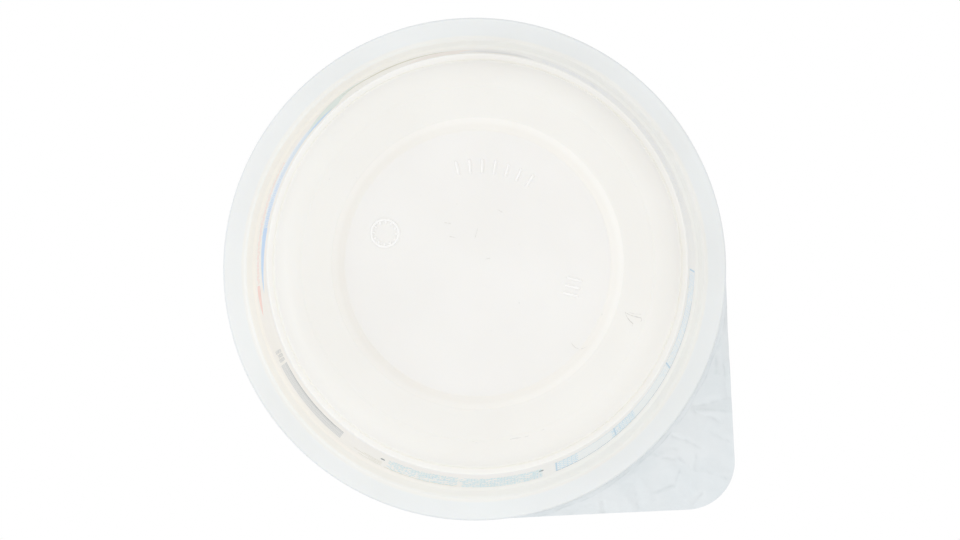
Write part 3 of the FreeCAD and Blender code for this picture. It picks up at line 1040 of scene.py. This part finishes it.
def foil_surface(x, y):
    """The foil's height above the flange at a point, and how much shade is painted there, along the folds and
    the crimp's line. The point and the height are in millimetres.
    """
    across = math.hypot(x, y)
    azimuth = math.atan2(y, x)
    inner = SEAL_INNER_RADIUS / MM
    past = across - RIM_RADIUS / MM
    height, near = 0.0, 0.0
    if across < inner:
        slack = 1 - (across / inner) ** 2
        puckers = math.sin(azimuth * PUCKERS + 3 * noise.noise(polar(3, azimuth, 5)))
        band = math.exp(-(((across - inner + PUCKER_INSET) / PUCKER_BAND) ** 2))
        height -= SAG * slack + PUCKER_HEIGHT * band * (1 + puckers)
        broad = noise.noise((x * 0.055, y * 0.055, 7.0))
        ridge = abs(noise.noise((x * 0.09, y * 0.09, 17.0)))
        height += min(1.0, slack * 3) * (0.55 * broad + 0.65 * ridge)
    bare = 1 - smooth_step((outline_reach(azimuth) - FOIL_RADIUS) / MM, 0.0, 1.5)
    over_edge = min(max(past + EDGE_WRAP, 0.0), EDGE_WRAP)
    height -= bare * (EDGE_WRAP - math.sqrt(EDGE_WRAP**2 - over_edge**2))
    if past > -EDGE_WRAP:
        start = smooth_step(past, WRINKLE_START, WRINKLE_FULL)
        folds, near = fold_height(x, y)
        coarse, fine = noise.noise((x * 0.45, y * 0.45, 2.0)), noise.noise((x * 1.3, y * 1.3, 4.0))
        uneven = max(0.0, 0.5 + coarse + 0.6 * fine)
        line = 0.75 + 0.35 * noise.noise((x * 0.2, y * 0.2, 9.0))
        bead = BEAD_HEIGHT * math.exp(-(((past - line) / BEAD_WIDTH) ** 2)) * uneven
        droop = DROOP * max(0.0, past) ** 1.5
        height += start * (folds + crumple(x, y)) - bead - droop
        # Painted shade: a dark line along the crimp beside the flange's edge, and the folds' shade past the
        # flange
        near = max(near * start, 0.9 * uneven * math.exp(-(((past - line) / (BEAD_WIDTH / 2)) ** 2)))
    return height, near


def make_foil(foil):
    """The lid as a fine polar mesh, denser over the pull corner, then given its thickness."""
    first = TAB_AZIMUTH - math.pi / 4
    spokes = [first + math.pi / 2 * i / TAB_SPOKES for i in range(TAB_SPOKES)]
    spokes += [first + math.pi / 2 + 1.5 * math.pi * i / PLAIN_SPOKES for i in range(PLAIN_SPOKES)]
    around = len(spokes)
    vertices, faces = [Vector((0, 0, 0))], []
    for i in range(1, INNER_RINGS + 1):
        vertices += [polar(FOIL_RADIUS * (i / INNER_RINGS) ** INNER_CROWDING, a) for a in spokes]
    for i in range(around):
        j = (i + 1) % around
        faces.append((0, 1 + i, 1 + j))
        for low in range(1, 1 + (INNER_RINGS - 1) * around, around):
            high = low + around
            faces.append((low + i, high + i, high + j, low + j))

    # The pull corner, in columns that run outwards from the circle's edge
    edge = 1 + (INNER_RINGS - 1) * around
    columns = []
    for i in range(1, TAB_SPOKES):
        extra = outline_reach(spokes[i]) - FOIL_RADIUS
        column = [edge + i]
        for ring in range(1, TAB_RINGS + 1):
            column.append(len(vertices))
            vertices.append(polar(FOIL_RADIUS + extra * (ring / TAB_RINGS) ** TAB_CROWDING, spokes[i]))
        columns.append(column)
    for left, right in zip(columns, columns[1:]):
        for ring in range(TAB_RINGS):
            faces.append((left[ring], left[ring + 1], right[ring + 1], right[ring]))
    for tip, column in ((edge, columns[0]), (edge + TAB_SPOKES, columns[-1])):
        for ring in range(TAB_RINGS):
            pair = (column[ring], column[ring + 1])
            faces.append((tip, *(pair[::-1] if tip == edge else pair)))

    crease_painted_shades = []
    for v in vertices:
        height, near = foil_surface(v.x / MM, v.y / MM)
        v.z = FOIL_LOW.z + FOIL_THICKNESS / 2 + height * MM
        crease_painted_shades.append(near)
    sheet = new_object("foil_sheet", mesh_from("foil_sheet", vertices, faces))
    # The painted shade goes with the mesh as a point attribute
    sheet.data.attributes.new("crease", "FLOAT", "POINT").data.foreach_set("value", crease_painted_shades)
    thick = sheet.modifiers.new("thickness", "SOLIDIFY")
    thick.thickness = FOIL_THICKNESS * SHEET_SHARE
    thick.offset = 0.0
    finish_piece(applied("foil_sheet", sheet), foil, replaces="foil_lid", sharp=60)


# ---- stage, lamps and camera

# The room's dimmer sides: one for its plain light, one for what plastic and foil mirror. Each has the share
# lost to that side, and the share lost overhead.
DIM_SIDE, DIM_FALL = (0.5, -0.866, 0), (0.05, 0.28)
DULL_SIDE, DULL_FALL = (0.93, -0.36, 0), (0.34, 0.12)
FLOOR_REACH = 6.0
FLOOR_LEVEL = -0.1 * MM
FLOOR_GREY = rgb(0.93, 0.93, 0.93)
FLOOR_GLOW = 0.35  # the share of its white that needs no lamp
LAMPS = (
    # name, place, size, power and colour
    ("below_left", (-0.653, 0.14, -0.34), 0.30, 0.39, (0.90, 0.98, 1.08)),
    ("below_right", (0.62, -0.10, -0.26), 0.30, 0.075, (1.0, 0.99, 0.96)),
    ("overhead", (0.03, -0.02, 0.9), 0.28, 1.1, (1.0, 0.99, 0.98)),
    ("above_right", (0.55, 0.32, 0.46), 0.5, 0.25, (1.0, 0.98, 0.95)),
)


def make_world():
    """A white room, dimmer overhead and to one side, so that the cup and the foil show their forms."""
    world = bpy.data.worlds.new("white_room")
    bpy.context.scene.world = world
    world.use_nodes = True
    room = NodeWriter(world.node_tree)
    toward = room.add("ShaderNodeTexCoord")["Generated"]
    high = room.ramp(room.split(toward)["Z"], -0.1, 0.6)

    def light(direction, fall):
        """Full light, less what it loses to one side and overhead."""
        dot_product = {"operation": "DOT_PRODUCT"}
        aside = room.in_order("ShaderNodeVectorMath", dot_product, toward, direction)["Value"]
        side = room.math("MAXIMUM", aside, 0.0)
        return room.minus(1.0, room.plus(room.times(side, fall[0]), room.times(high, fall[1])))

    path = room.add("ShaderNodeLightPath")
    mirrored = room.math("MAXIMUM", path["Is Glossy Ray"], path["Is Transmission Ray"])
    plain = room.times(room.minus(1.0, mirrored), light(DIM_SIDE, DIM_FALL))
    level = room.plus(plain, room.times(mirrored, light(DULL_SIDE, DULL_FALL)))
    sky = room.tree.nodes["Background"].inputs
    room.feed(sky["Color"], rgb(1, 1, 1))
    room.feed(sky["Strength"], room.math("MAXIMUM", level, path["Is Camera Ray"]))


def make_floor():
    """A pale floor under the cup, clear from below, so that the base is seen and lit from there."""
    turns = ((-1, -1), (1, -1), (1, 1), (-1, 1))
    corners = [(x * FLOOR_REACH, y * FLOOR_REACH, FLOOR_LEVEL) for x, y in turns]
    floor = new_object("floor", mesh_from("floor", corners, [(0, 1, 2, 3)]))
    material = bpy.data.materials.new("floor_white")
    material.use_nodes = True
    material.node_tree.nodes.clear()
    s = NodeWriter(material.node_tree)
    matte = s.add("ShaderNodeBsdfDiffuse", Color=FLOOR_GREY)[0]
    glow = s.add("ShaderNodeEmission")[0]
    clear = s.add("ShaderNodeBsdfTransparent")[0]
    seen = s.add("ShaderNodeLightPath")["Is Camera Ray"]
    below = s.add("ShaderNodeNewGeometry")["Backfacing"]
    from_above = s.math("MAXIMUM", s.minus(seen, below), 0.0)
    pale = s.in_order("ShaderNodeMixShader", None, FLOOR_GLOW, matte, glow)[0]
    surface = s.in_order("ShaderNodeMixShader", None, from_above, clear, pale)[0]
    s.add("ShaderNodeOutputMaterial", Surface=surface)
    floor.data.materials.append(material)


def make_lamps():
    """Disks of light, all aimed at the middle of the cup."""
    middle = Vector((0, 0, HEIGHT / 2))
    for name, place, size, power, color in LAMPS:
        data = bpy.data.lights.new(name, "AREA")
        data.shape = "DISK"
        data.size, data.energy, data.color = size, power, color
        light = new_object(name, data)
        light.location = place
        light.rotation_euler = (middle - Vector(place)).to_track_quat("-Z", "Y").to_euler()


def make_camera():
    """Almost on the cup's axis, 386 mm under the base, with the pull corner to the lower right."""
    data = bpy.data.cameras.new("camera")
    data.lens = 87.08
    data.sensor_width = 36.0
    camera = new_object("camera", data)
    stand = Vector((-4.06, 7.7, -386.3)) * MM
    aim = Vector((0.945, 0.245, 52.5)) * MM
    forward = (aim - stand).normalized()
    right = forward.cross(Vector((0, -1, 0))).normalized()
    turn = Matrix((right, right.cross(forward), -forward)).transposed()
    camera.matrix_world = Matrix.Translation(stand) @ turn.to_4x4()
    bpy.context.scene.camera = camera


# ---- build

bpy.context.scene.view_settings.view_transform = "Standard"
make_camera()
make_world()
make_floor()
make_lamps()

make_cup(cup_plastic("cup_plastic", RECESS_WHITE))
make_print()
# The marks' plastic is painted lighter, as a highlight on them
make_marks(cup_plastic("mark_plastic", MARK_PAINTED_HIGHLIGHT))
make_scuffs()
make_foil(lid_foil())
